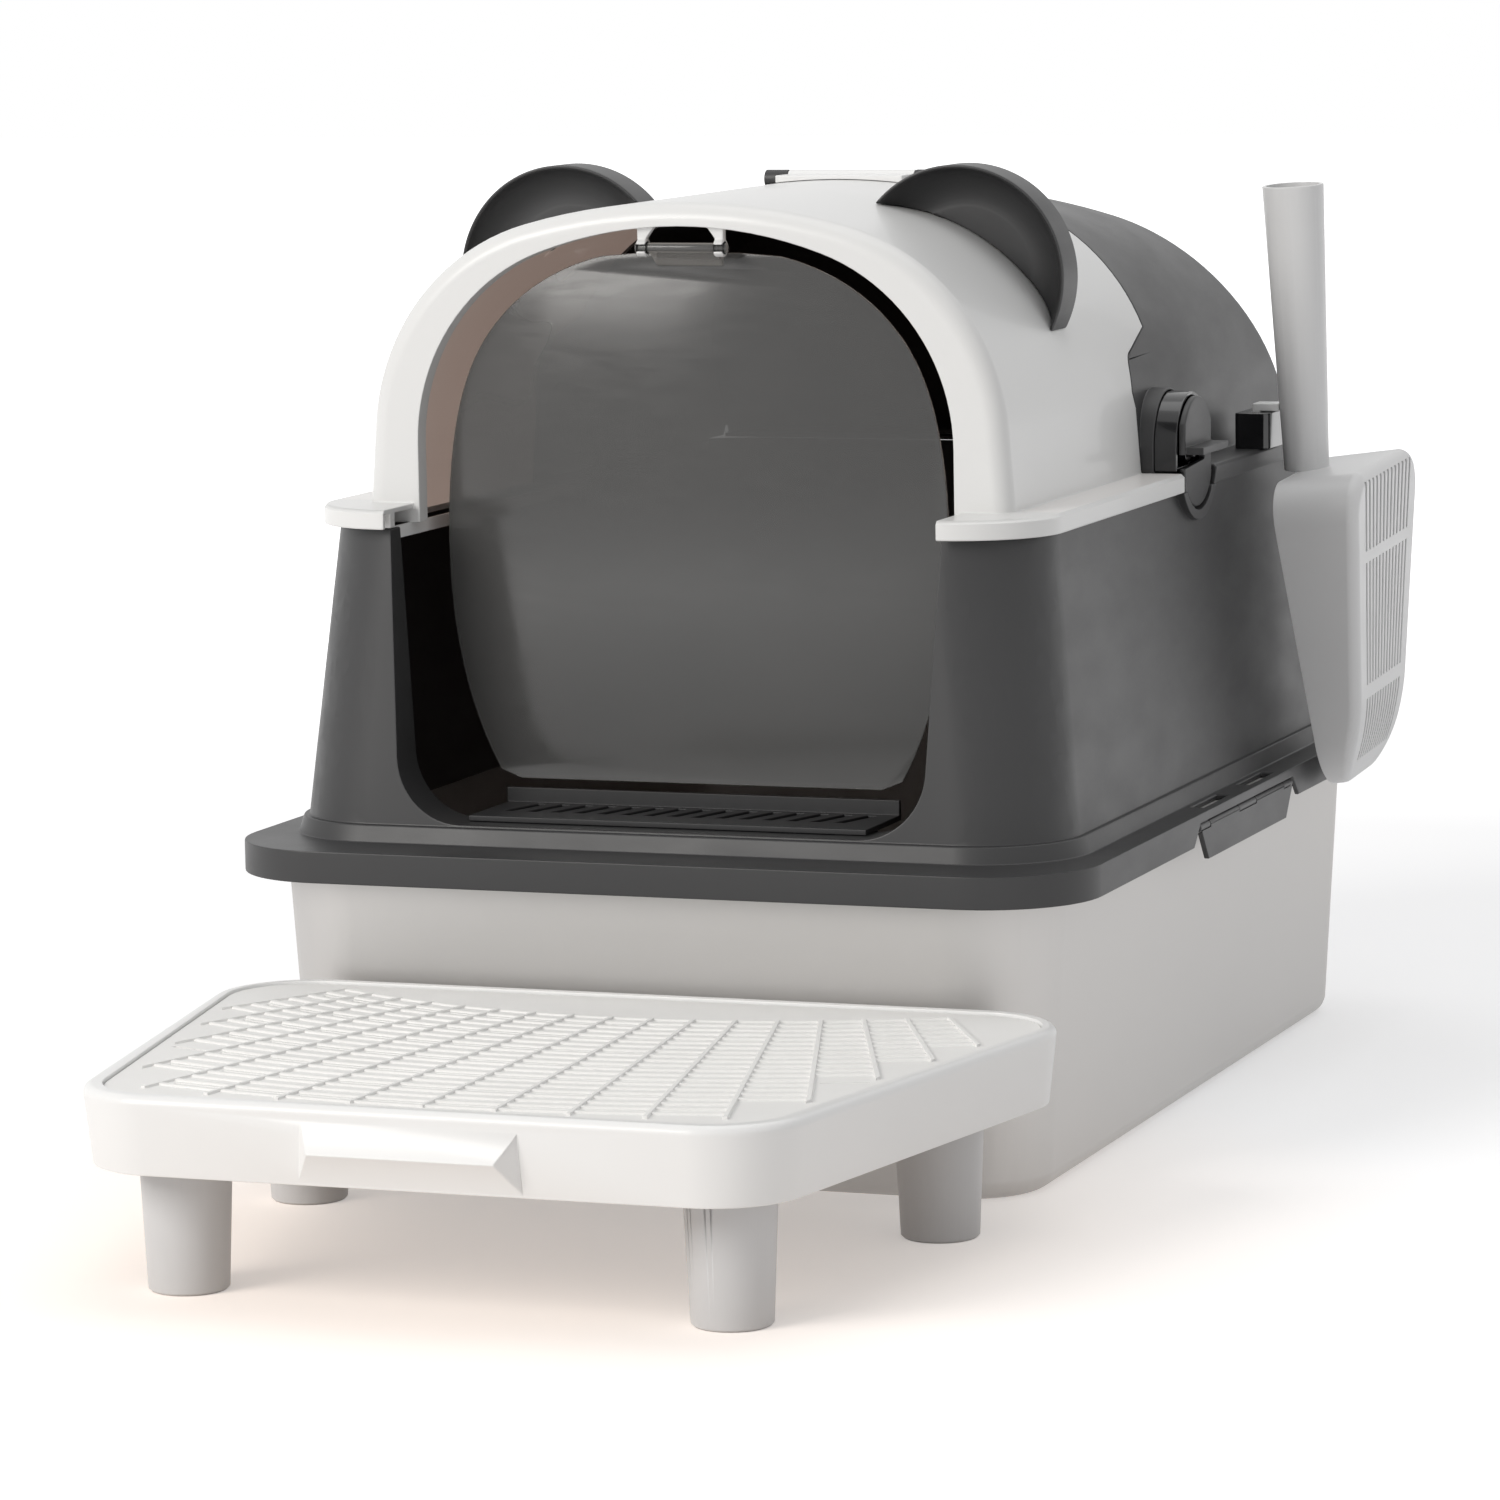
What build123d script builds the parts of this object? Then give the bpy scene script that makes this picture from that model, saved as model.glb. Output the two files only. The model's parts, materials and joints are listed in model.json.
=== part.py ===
from build123d import *

import os
from math import cos, hypot, radians, sin, tan

# Millimetres. The origin is the centre of the pan's flat underside, +Z is up and the cat's door faces -Y.

# Steel pan
pan_top_width = 382.0
pan_top_length = 566.0
pan_height = 149.7
pan_draft = 3.5
pan_wall = 1.2
pan_corner = 48.0
pan_foot_radius = 10.0
pan_rim_reach = 9.0
pan_rim_drop = 5.0

# Enclosure
plastic_wall = 2.5
seat_gap = 0.3
flange_side_reach = 18.0
flange_end_reach = 12.0
flange_corner = 52.0
skirt_depth = 12.5
wall_side_setback = 0.5
wall_front_setback = 24.0
wall_rear_setback = 11.0
wall_side_lean = 14.5
wall_front_lean = 15.0
wall_rear_lean = 10.0
wall_corner = 46.0
wall_height = 145.0
wall_step = 5.0
wall_step_rise = 8.0
door_gap_margin = 3.0
door_gap_narrowing = 14.0
door_gap_corner = 32.0
sill_rise = 9.0
reveal_depth = 12.0

# Hoods
hood_side_setback = 16.0
hood_side_draft = 4.55
hood_shoulder_radius = 105.0
hood_crown_radius = 302.0
hood_top_rise = 150.0
hood_front_setback = 28.0
hood_nose_radius = 9.0
hood_split = 29.0
hood_joint_gap = 0.8
lap_reach = 6.0
lap_gap = 0.4
lap_thickness = 1.8
lip_reach = 5.0
lip_thickness = 9.2
lip_front_reach = 8.0
lip_rear_reach = 12.0
lip_corner = 46.0
lip_edge = 1.6
arch_side_setback = 28.0
arch_shoulder_radius = 95.0
arch_crown_radius = 203.5
arch_top_rise = 139.0
arch_return = 10.0
locator_depth = 6.0
locator_gap = 0.6
rear_sag = 20.0
rear_shoulder_radius = 90.0
rear_panel_run = 63.0
rear_panel_rise = 88.0
rear_panel_setback = 6.0
cheek_front = 70.0
cheek_front_rise = 29.0
cheek_rear_rise = 83.0
cheek_crease_inset = 18.6
cheek_step = 0.2
cheek_inset = 0.4
cheek_foot_flare = 5.0

# Ears
ear_radius = 53.0
ear_side_setback = 60.5
ear_rise = 109.5
ear_front_setback = 105.0
ear_depth = 23.0
ear_rim = 1.6
ear_dish_depth = 15.0
ear_dish_radius = 19.0
ear_peg_spacing = 28.0
ear_peg_radius = 2.6
ear_peg_length = 9.0
ear_peg_top = 131.0
ear_peg_slope = 5.0

# Hinge between the hoods
hinge_radius = 4.6
hinge_drop = 0.5
hinge_pin_radius = 1.5
hinge_block_width = 66.0
hinge_knuckle_width = 12.0
hinge_leaf_length = 22.0
hinge_leaf_thickness = 2.6
running_gap = 0.05
side_gap = 0.35

# Swing door
door_side_gap = 8.0
door_foot_inset = 34.0
door_thickness = 2.0
door_setback = 16.0
door_bottom_gap = 14.5
door_bar_radius = 2.3
door_bar_forward = 11.0
door_bar_rise = 129.0
door_gusset = 1.9
hook_spacing = 38.0
hook_width = 4.6
hook_wall = 1.9
hook_root = 5.5

# Rotary latches
latch_y = 19.0
latch_rise = 18.0
latch_radius = 27.0
latch_half_width = 23.0
latch_plate = 3.0
latch_neck = 12.0
latch_waist = 4.6
latch_fin_reach = 9.0
latch_fin_thickness = 3.6
latch_hub_radius = 6.0
latch_stud_radius = 3.0
latch_reach = 16.5
housing_wall = 2.0
housing_half_width = 26.5
housing_top_rise = 25.0
housing_foot_drop = 8.0
housing_depth = 22.0
collar_width = 1.5
collar_proud = 5.0
tongue_front = -13.0
tongue_side = -9.0
tongue_rise = 77.0
keeper_gap = 1.4
keeper_wall = 5.0
keeper_proud = 4.5

# Flip clips
clip_length = 164.0
clip_foot_length = 138.0
clip_notch = 12.0
clip_plate = 2.6
clip_drop = 8.5
clip_barrel_radius = 2.2
clip_barrel_length = 50.0
clip_pin_radius = 0.9
clip_centre_knuckle = 30.0
clip_hook_length = 70.0
clip_hook_thickness = 2.4
clip_hook_bite = 4.0
clip_slot_length = 44.0
clip_slot_width = 6.0
clip_slot_inset = 5.0
clip_web_out = 0.5

# Entry grid
grid_side_gap = 30.0
grid_depth = 50.0
grid_thickness = 2.6
grid_upstand = 7.0
grid_slots = 15
grid_slot_width = 5.0
grid_slot_slant = 32.0

# Scoop and its holder
scoop_side_reach = 19.0
scoop_y = 144.0
scoop_drop = 11.0
scoop_handle_length = 143.5
scoop_handle_top_radius = 15.4
scoop_handle_base_radius = 11.3
scoop_handle_wall = 2.0
scoop_handle_floor = 3.0
scoop_basket_length = 158.0
scoop_basket_top_width = 130.0
scoop_basket_tip_width = 86.0
scoop_top_corner = 20.0
scoop_tip_corner = 28.0
scoop_basket_depth = 43.0
scoop_bend_depth = 24.0
scoop_bend_drop = 112.0
scoop_tip_depth = 5.0
scoop_edge_radius = 6.0
scoop_wall = 2.2
scoop_slots = 13
scoop_slot_rows = ((5.0, 40.0), (46.0, 108.0), (115.0, 146.0))
scoop_slot_field_top = 97.0
scoop_slot_field_tip = 62.0
scoop_slot_share = 0.42
scoop_rim_back = 3.0
scoop_lean_in = 1.8
scoop_lean_front = 3.0
scoop_basket_lean = 5.5
holder_setback = 7.8
holder_peg_depth = 4.0
holder_peg_radius = 1.8
holder_width = 32.0
holder_depth = 18.0
holder_height = 18.0
hook_leg_setback = 7.6
hook_tab_width = 13.0
hook_tab_thickness = 4.0
socket_gap = 0.35

# Step
step_offset = 12.0
step_gap = 5.0
step_depth = 292.0
step_front_narrowing = 104.0
step_corner = 42.0
step_underside = 57.6
step_thickness = 34.8
step_wall = 3.0
step_edge_radius = 4.0
step_rim = 8.0
step_floor_drop = 4.0
step_draft = 6.5
mat_thickness = 2.6
mat_gap = 0.5
fan_radius = 528.0
fan_reach = 225.0
fan_behind_step = 244.0
fan_ribs = 17
fan_pitch = 3.6
fan_rib_height = 1.2
fan_rib_width = 2.2
fan_slit_rows = 7
fan_slit_width = 2.6
grip_width = 103.0
grip_edge_width = 85.0
grip_edge_drop = 19.0
grip_reach = 8.0
leg_top_radius = 20.0
leg_foot_radius = 17.5
leg_edge = 1.2
leg_front_setback = 49.0
leg_rear_setback = 55.0
leg_front_inset = 33.0
leg_rear_inset = 57.0
leg_socket_depth = 12.0
leg_spigot_radius = 15.0
leg_wall = 2.5

# Sizes that the ones above settle
flange_width = pan_top_width + 2 * flange_side_reach
flange_length = pan_top_length + 2 * flange_end_reach
flange_edge = flange_width / 2
flange_under = pan_height + seat_gap
flange_top = flange_under + plastic_wall
wall_base_width = pan_top_width - 2 * wall_side_setback
wall_base_front = wall_front_setback - pan_top_length / 2
wall_base_rear = pan_top_length / 2 - wall_rear_setback
wall_top_width = wall_base_width - 2 * wall_side_lean
wall_top_front = wall_base_front + wall_front_lean
wall_top_rear = wall_base_rear - wall_rear_lean
wall_top = flange_top + wall_height
sill_top = flange_top + sill_rise
lip_under = wall_top + seat_gap
lip_top = lip_under + lip_thickness
lip_half = wall_top_width / 2 + lip_reach
lip_front = wall_top_front - lip_front_reach
lip_rear = wall_top_rear + lip_rear_reach
hood_side = wall_top_width / 2 - hood_side_setback
hood_front = wall_top_front + hood_front_setback
hood_top = lip_under + hood_top_rise
hinge_z = hood_top - hinge_drop
arch_side = hood_side - arch_side_setback
door_gap_width = 2 * (arch_side + door_gap_margin)
door_half = arch_side - door_side_gap
door_plane = hood_front + door_setback
door_bottom = sill_top + door_bottom_gap
door_bar_y = door_plane - door_bar_forward
door_bar_z = lip_under + door_bar_rise
rear_panel_foot = lip_rear - rear_panel_setback
rear_panel_y = rear_panel_foot - rear_panel_run
ear_x = hood_side - ear_side_setback
ear_front = hood_front + ear_front_setback
latch_z = wall_top + latch_rise
latch_back = hood_side + latch_reach
clip_axis_x = flange_edge - clip_barrel_radius - 0.1
clip_axis_z = flange_under - plastic_wall - clip_barrel_radius
scoop_x = lip_half + scoop_side_reach
holder_x = lip_half - holder_setback
hook_leg_x = lip_half - hook_leg_setback
step_rear = -pan_top_length / 2 - step_gap
step_front = step_rear - step_depth
step_rear_width = flange_width
step_front_width = step_rear_width - step_front_narrowing
step_top = step_underside + step_thickness
step_floor = step_top - step_floor_drop


def slab(width, length, corner, low, high, middle_y=0.0):
    outline = Pos(0, middle_y, low) * RectangleRounded(width, length, corner)
    return extrude(outline, high - low)


def tapered(low_size, high_size, low, high):
    (low_w, low_front, low_rear, low_r), (high_w, high_front, high_rear, high_r) = low_size, high_size
    foot = Pos(0, (low_front + low_rear) / 2, low) * RectangleRounded(low_w, low_rear - low_front, low_r)
    brim = Pos(0, (high_front + high_rear) / 2, high) * RectangleRounded(high_w, high_rear - high_front, high_r)
    return loft([foot, brim], ruled=True)


def drafted(outline, high, low, draft):
    """A flat outline at high, drawn down to low and narrowing on the way by draft degrees."""
    return extrude(Pos(0, 0, high) * outline, high - low, dir=(0, 0, -1), taper=draft)


def block(x0, x1, y0, y1, z0, z1):
    return Pos((x0 + x1) / 2, (y0 + y1) / 2, (z0 + z1) / 2) * Box(x1 - x0, y1 - y0, z1 - z0)


def rod_x(radius, x0, x1, y, z):
    return Pos((x0 + x1) / 2, y, z) * Rot(0, 90, 0) * Cylinder(radius, x1 - x0)


def rod_y(radius, y0, y1, x, z):
    return Pos(x, (y0 + y1) / 2, z) * Rot(90, 0, 0) * Cylinder(radius, y1 - y0)


def mirrored(shape):
    return mirror(shape, about=Plane.YZ)


def along_y(wire_or_face, y0, y1):
    return extrude(Plane.XZ.offset(-y0) * wire_or_face, -(y1 - y0))


def along_x(face, x0, x1):
    return extrude(Plane.YZ.offset(x0) * face, x1 - x0)


def wall_section(height, inset):
    share = (height - flange_top) / wall_height
    width = wall_base_width + share * (wall_top_width - wall_base_width)
    front = wall_base_front + share * (wall_top_front - wall_base_front)
    rear = wall_base_rear + share * (wall_top_rear - wall_base_rear)
    return width - 2 * inset, front + inset, rear - inset, wall_corner - inset


def wall_block(inset, low, high):
    return tapered(wall_section(low, inset), wall_section(high, inset), low, high)


def door_gap(grow):
    """The U of the cat's entrance, widened all round by grow."""
    head = wall_top + 30
    foot = sill_top - grow
    spread = door_gap_narrowing / 2 / (wall_top - sill_top)
    half_foot = door_gap_width / 2 - door_gap_narrowing / 2 + grow
    half_head = half_foot + spread * (head - foot)
    corners = [(-half_foot, foot), (half_foot, foot), (half_head, head), (-half_head, head)]
    face = make_face(Polyline(*corners, close=True))
    return fillet(face.vertices().sort_by(Axis.Y)[:2], door_gap_corner + grow)


def vault(half_foot, draft, shoulder_radius, crown_radius, top_rise, floor_rise):
    """A hood's cross section: leaning sides, a wide crown arc and a round shoulder tangent to both."""
    lean = tan(radians(draft))
    crown_middle = top_rise - crown_radius
    corner_rise = top_rise
    for _ in range(6):
        corner_x = half_foot - lean * corner_rise
        corner_rise = crown_middle + (crown_radius**2 - corner_x**2) ** 0.5
    foot = half_foot - lean * floor_rise
    lines = [
        Line((-foot, floor_rise), (foot, floor_rise)),
        Line((foot, floor_rise), (corner_x, corner_rise)),
        ThreePointArc((corner_x, corner_rise), (0, top_rise), (-corner_x, corner_rise)),
        Line((-corner_x, corner_rise), (-foot, floor_rise)),
    ]
    face = make_face(lines)
    face = fillet(face.vertices().sort_by(Axis.Y)[-2:], shoulder_radius)
    return Pos(0, lip_under) * face


def hood_section(inset, low, sag=0.0, shoulder_radius=hood_shoulder_radius):
    lean = radians(hood_side_draft)
    return vault(
        hood_side - inset / cos(lean),
        hood_side_draft,
        shoulder_radius - inset,
        hood_crown_radius - inset,
        hood_top_rise - sag - inset,
        low - lip_under,
    )


def arch_section(grow):
    return vault(
        arch_side + grow,
        0,
        arch_shoulder_radius + grow,
        arch_crown_radius + grow,
        arch_top_rise + grow,
        -30,
    )


def latch_swing():
    """The room the lever's disc needs outside the lid's lip and the wall."""
    return rod_x(latch_radius + keeper_gap, latch_back - side_gap, latch_back + 20, latch_y, latch_z)


def make_pan():
    def tray(inset, high, low):
        lean = tan(radians(pan_draft)) * (high - pan_height)
        outline = RectangleRounded(
            pan_top_width - 2 * (inset - lean), pan_top_length - 2 * (inset - lean), pan_corner - inset + lean
        )
        solid = drafted(outline, high, low, pan_draft)
        return fillet(solid.edges().group_by(Axis.Z)[0], pan_foot_radius - inset)

    rim_low = pan_height - pan_rim_drop
    reach = 2 * pan_rim_reach
    rim = slab(pan_top_width + reach, pan_top_length + reach, pan_corner + pan_rim_reach, rim_low, pan_height)
    channel = slab(
        pan_top_width + reach - 2 * pan_wall,
        pan_top_length + reach - 2 * pan_wall,
        pan_corner + pan_rim_reach - pan_wall,
        rim_low - 1,
        pan_height - pan_wall,
    )
    return tray(0, pan_height, 0) + (rim - channel) - tray(pan_wall, pan_height + 1, pan_wall)


def clip_window(side_room, low, high, notch):
    """A trapezoid over one flip clip on the flange's right edge."""
    half = clip_length / 2 + side_room
    outline = [(-half - notch, low), (half + notch, low), (half, high), (-half, high)]
    return make_face(Polyline(*outline, close=True))


def make_enclosure():
    skirt_low = flange_under - skirt_depth
    flange = slab(flange_width, flange_length, flange_corner, flange_under, flange_top)
    skirt = slab(flange_width, flange_length, flange_corner, skirt_low, flange_under)
    skirt -= slab(
        flange_width - 2 * plastic_wall,
        flange_length - 2 * plastic_wall,
        flange_corner - plastic_wall,
        skirt_low,
        flange_under,
    )
    wall = wall_block(0, flange_under, wall_top)
    step_foot = wall_section(flange_top, -wall_step)
    step_head = wall_section(flange_top + wall_step_rise, -wall_step / 2)
    wall += tapered(step_foot, step_head, flange_under, flange_top + wall_step_rise)
    frame = flange + skirt + wall - wall_block(plastic_wall, flange_under - 1, wall_top + 1)
    reveal = along_y(door_gap(plastic_wall), wall_base_front - 1, wall_top_front + reveal_depth)
    frame += reveal & wall
    frame -= along_y(door_gap(0), wall_base_front - 2, wall_top_front + reveal_depth + 1)
    seam = clip_axis_z + clip_barrel_radius + side_gap
    for side in (1, -1):
        turn = (lambda shape: shape) if side == 1 else mirrored
        keeper = Pos(latch_y, latch_z) * Circle(latch_radius + keeper_gap + keeper_wall)
        below = Pos(latch_y, wall_top - 30) * Rectangle(90, 60)
        rim = along_x(keeper & below, wall_top_width / 2 - plastic_wall / 2, wall_top_width / 2 + keeper_proud)
        frame += turn(rim)
        frame -= turn(latch_swing())
        window = along_x(clip_window(side_gap, skirt_low - 1, seam, clip_notch), flange_edge - 6, flange_edge + 1)
        frame -= turn(window)
        ends = clip_centre_knuckle / 2 + clip_barrel_length + 2 * side_gap
        for y0, y1 in (
            (-clip_centre_knuckle / 2, clip_centre_knuckle / 2),
            (ends, clip_length / 2),
            (-clip_length / 2, -ends),
        ):
            knuckle = rod_y(clip_barrel_radius, y0, y1, clip_axis_x, clip_axis_z)
            left = clip_axis_x - clip_barrel_radius
            knuckle += block(left, clip_axis_x + clip_web_out, y0, y1, clip_axis_z, flange_under)
            frame += turn(knuckle)
        bore = rod_y(clip_pin_radius + running_gap, -clip_length / 2, clip_length / 2, clip_axis_x, clip_axis_z)
        frame -= turn(bore)
        for y in (-1, 1):
            middle = y * (clip_centre_knuckle + clip_barrel_length) / 2
            x1 = flange_edge - clip_slot_inset
            slot = block(
                x1 - clip_slot_width,
                x1,
                middle - clip_slot_length / 2,
                middle + clip_slot_length / 2,
                flange_under - 1,
                flange_top + 1,
            )
            frame -= turn(slot)
    return frame


def make_clip():
    foot = flange_under - skirt_depth - clip_drop
    half = clip_length / 2
    half_foot = clip_foot_length / 2
    corners = [(-half, clip_axis_z), (half, clip_axis_z), (half_foot, foot), (-half_foot, foot)]
    flap = make_face(Polyline(*corners, close=True))
    clip = along_x(flap, flange_edge - clip_plate, flange_edge)
    hook_top = pan_height - pan_rim_drop - seat_gap
    hook_tip = pan_top_width / 2 + pan_rim_reach - clip_hook_bite
    clip += block(
        hook_tip,
        flange_edge - clip_plate / 2,
        -clip_hook_length / 2,
        clip_hook_length / 2,
        hook_top - clip_hook_thickness,
        hook_top,
    )
    start = clip_centre_knuckle / 2 + side_gap
    for y0, y1 in ((start, start + clip_barrel_length), (-start - clip_barrel_length, -start)):
        clip += rod_y(clip_barrel_radius, y0, y1, clip_axis_x, clip_axis_z)
    room = clip_barrel_radius + side_gap
    ends = start + clip_barrel_length
    for y0, y1 in ((-start, start), (ends, half + 1), (-half - 1, -ends)):
        clip -= rod_y(room, y0, y1, clip_axis_x, clip_axis_z)
    clip -= rod_y(clip_pin_radius + running_gap, -half, half, clip_axis_x, clip_axis_z)
    return clip


def make_clip_pins():
    pin = rod_y(clip_pin_radius, -clip_length / 2, clip_length / 2, clip_axis_x, clip_axis_z)
    return [pin, mirrored(pin)]


def make_grid():
    """The strip behind the sill that combs the litter off the cat's paws."""
    grid_width = door_gap_width - door_gap_narrowing - 2 * grid_side_gap
    front = wall_top_front + reveal_depth - 14
    rear = front + grid_depth
    low = sill_top + seat_gap
    high = low + grid_thickness
    strip = block(-grid_width / 2, grid_width / 2, front, rear, low, high)
    strip += block(-grid_width / 2, grid_width / 2, rear - grid_thickness, rear, low, high + grid_upstand)
    reveal_end = wall_top_front + reveal_depth + side_gap
    strip += block(-grid_width / 2, grid_width / 2, reveal_end, reveal_end + grid_thickness, low - 8, high)
    slot_start = reveal_end + grid_thickness + 2
    slot_length = rear - grid_thickness - 3 - slot_start
    pitch = (grid_width - 20) / grid_slots
    slant = tan(radians(grid_slot_slant)) * slot_length / 2
    for place in range(grid_slots):
        x = (place - (grid_slots - 1) / 2) * pitch
        half = grid_slot_width / 2
        outline = Polyline(
            (x - slant / 2 - half, slot_start),
            (x - slant / 2 + half, slot_start),
            (x + slant / 2 + half, slot_start + slot_length),
            (x + slant / 2 - half, slot_start + slot_length),
            close=True,
        )
        strip -= Pos(0, 0, low - 1) * extrude(make_face(outline), grid_thickness + 2)
    return strip


def hood_foot(inset):
    return lip_under - 10 if inset > 0 else lip_under


def hood_prism(inset, y0, y1):
    return along_y(hood_section(inset, hood_foot(inset)), y0, y1)


def tongue(grow):
    """The side panel of the rear hood that reaches forward round each latch."""
    z_top = lip_under + tongue_rise
    outline = [
        (90, z_top + grow),
        (hood_split, z_top + grow),
        (tongue_front + 2 - grow, z_top - 12 + grow),
        (tongue_front - grow, z_top - 28),
        (tongue_side - grow, z_top - 36),
        (tongue_side - grow, lip_under - 30),
        (90, lip_under - 30),
    ]
    face = make_face(Polyline(*outline, close=True))
    face = fillet(face.vertices().filter_by(lambda v: v.X < tongue_front + 3 - grow and v.Y > z_top - 20), 8)
    right = along_x(face, hood_side * 0.7, flange_edge)
    return right + mirrored(right)


def lip_ring(with_rib):
    """The channel that sits on the wall; the rear hood's also has the rib that keeps it in place."""
    under_plate = lip_top - plastic_wall
    middle = (lip_front + lip_rear) / 2
    length = lip_rear - lip_front
    ring = slab(2 * lip_half, length, lip_corner, lip_under, lip_top, middle)
    ring = chamfer(ring.edges().group_by(Axis.Z)[-1], lip_edge)
    hollow = slab(
        2 * (lip_half - plastic_wall),
        length - 2 * plastic_wall,
        lip_corner - plastic_wall,
        lip_under - 1,
        under_plate,
        middle,
    )
    outer = wall_section(wall_top, 0)
    rib = wall_section(wall_top, plastic_wall + locator_gap)
    inner = wall_section(wall_top, 2 * plastic_wall + locator_gap)
    seat = tapered(outer, outer, lip_under, under_plate + 1)
    if with_rib:
        seat += tapered(rib, rib, lip_under - locator_depth, lip_under)
    seat -= tapered(inner, inner, lip_under - locator_depth - 1, under_plate)
    ring = (ring - hollow) + seat
    gap = door_gap_width / 2
    ring -= block(-gap, gap, lip_front - 1, hood_front + plastic_wall, lip_under - locator_depth - 1, lip_top + 1)
    swing = latch_swing()
    return ring - swing - mirrored(swing)


def latch_outline(grow):
    half = housing_half_width + grow
    top_centre = lip_under + housing_top_rise + 22 - housing_half_width
    foot = latch_z - housing_foot_drop - grow
    face = Pos(latch_y, top_centre) * Circle(half)
    face += Pos(latch_y, (top_centre + foot) / 2) * Rectangle(2 * half, top_centre - foot)
    keep = Pos(latch_y, foot + 50) * Rectangle(2 * half, 100)
    face = face & keep
    return face


def hinge_notch():
    reach = hinge_block_width / 2 + hinge_knuckle_width + 3 * side_gap
    return rod_x(hinge_radius + 0.6, -reach, reach, hood_split, hinge_z)


def soft_nose(prism, front, radius):
    edges = prism.edges().filter_by(lambda e: e.center().Y < front + 0.01 and e.center().Z > lip_under + 1)
    return fillet(edges, radius)


def behind(y):
    """Everything behind y, used to part the two hoods."""
    return block(-flange_width, flange_width, y, flange_length, 0, 2 * hood_top)


def ear_peg_y():
    return ear_front + (ear_depth + ear_dish_depth) / 2


def make_front_hood():
    back = hood_split - hood_joint_gap
    outer = soft_nose(hood_prism(0, hood_front, back), hood_front, hood_nose_radius)
    inner_front = hood_front + plastic_wall
    inner = soft_nose(hood_prism(plastic_wall, inner_front, back + 1), inner_front, hood_nose_radius - plastic_wall)
    ring = lip_ring(False) - behind(back)
    hood = outer + ring - inner
    sleeve = along_y(arch_section(plastic_wall), hood_front + 1, hood_front + arch_return)
    hood += sleeve & outer
    hood -= along_y(arch_section(0), hood_front - 1, hood_front + arch_return + 1)
    hood -= tongue(hood_joint_gap)
    hood -= hinge_notch()
    for side in (-1, 1):
        x0 = side * hook_spacing / 2 - hook_width / 2
        x1 = x0 + hook_width
        eye = rod_x(door_bar_radius + hook_wall, x0, x1, door_bar_y, door_bar_z)
        eye += block(x0, x1, door_bar_y - hook_wall, door_bar_y + hook_wall, door_bar_z, hood_top - 9)
        root_low = lip_under + arch_top_rise - hook_root
        inner = side * hook_spacing / 2 - side * hook_width / 2
        root = [(inner, root_low), (inner, hood_top - 9), (inner - side * hook_root, hood_top - 9)]
        eye += along_y(make_face(Polyline(*root, close=True)), door_bar_y - hook_wall, door_bar_y + hook_wall)
        mouth = block(x0, x1, door_bar_y - 10, door_bar_y, door_bar_z - 1.6, door_bar_z + 1.6)
        eye -= mouth + rod_x(door_bar_radius + running_gap, x0, x1, door_bar_y, door_bar_z)
        hood += eye
        for step in (-1, 1):
            x = side * (ear_x + step * ear_peg_spacing / 2)
            hole = extrude(Circle(ear_peg_radius + seat_gap), hood_top_rise)
            hood -= Pos(x, ear_peg_y(), lip_under + arch_top_rise / 2) * hole
    return hood


def rear_panel(inset):
    """Everything behind the sloping rear panel, moved in by inset."""
    y0 = rear_panel_y
    z0 = lip_under + rear_panel_rise
    y1 = rear_panel_foot
    z1 = lip_top
    length = hypot(y1 - y0, z0 - z1)
    ahead = ((y1 - y0) / length, (z1 - z0) / length)
    shift = (-inset * -ahead[1], -inset * ahead[0])
    start = (y0 - 150 * ahead[0] + shift[0], z0 - 150 * ahead[1] + shift[1])
    end = (y1 + 60 * ahead[0] + shift[0], z1 + 60 * ahead[1] + shift[1])
    outline = [start, end, (end[0] + 200, end[1]), (end[0] + 200, start[1])]
    return along_x(make_face(Polyline(*outline, close=True)), -flange_width, flange_width)


def rear_body(inset):
    foot = hood_foot(inset)
    first = Plane.XZ.offset(-hood_split) * hood_section(inset, foot)
    last = Plane.XZ.offset(-rear_panel_foot) * hood_section(inset, foot, rear_sag, rear_shoulder_radius)
    body = loft([first, last], ruled=True)
    sections = []
    for y, rise, flare in (
        (cheek_front, cheek_front_rise, 0.0),
        (rear_panel_y, cheek_rear_rise, cheek_foot_flare),
        (rear_panel_foot, cheek_rear_rise, cheek_foot_flare),
    ):
        lean = tan(radians(hood_side_draft))
        crease = hood_side - cheek_crease_inset if flare else hood_side - lean * rise
        half_foot = hood_side - inset + (flare or -cheek_inset)
        half_top = crease - inset + (cheek_step if flare else -cheek_inset)
        z = lip_under + rise
        corners = [(-half_foot, foot), (half_foot, foot), (half_top, z), (-half_top, z)]
        sections.append(Plane.XZ.offset(-y) * make_face(Polyline(*corners, close=True)))
    body += loft(sections[:2], ruled=True) + loft(sections[1:], ruled=True)
    return body - rear_panel(inset)


def lap_strip():
    """The strip under the front hood's edge that closes the joint between the two hoods."""
    high = plastic_wall + lap_gap
    low = high + lap_thickness
    start = tongue_front - lap_reach - 5
    ends = hood_split + lap_reach
    near = tongue(lap_reach) + behind(hood_split - lap_reach)
    far = tongue(-lap_reach) + behind(ends)
    within = hood_prism(low, start, ends)
    strip = (hood_prism(high, start, ends) - within) & near
    root = (hood_prism(plastic_wall - 0.3, start, ends) - within) & (tongue(0) + behind(hood_split))
    band = (strip + root) - far
    return band & block(-flange_edge, flange_edge, start, ends, lip_under, hood_top)


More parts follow.
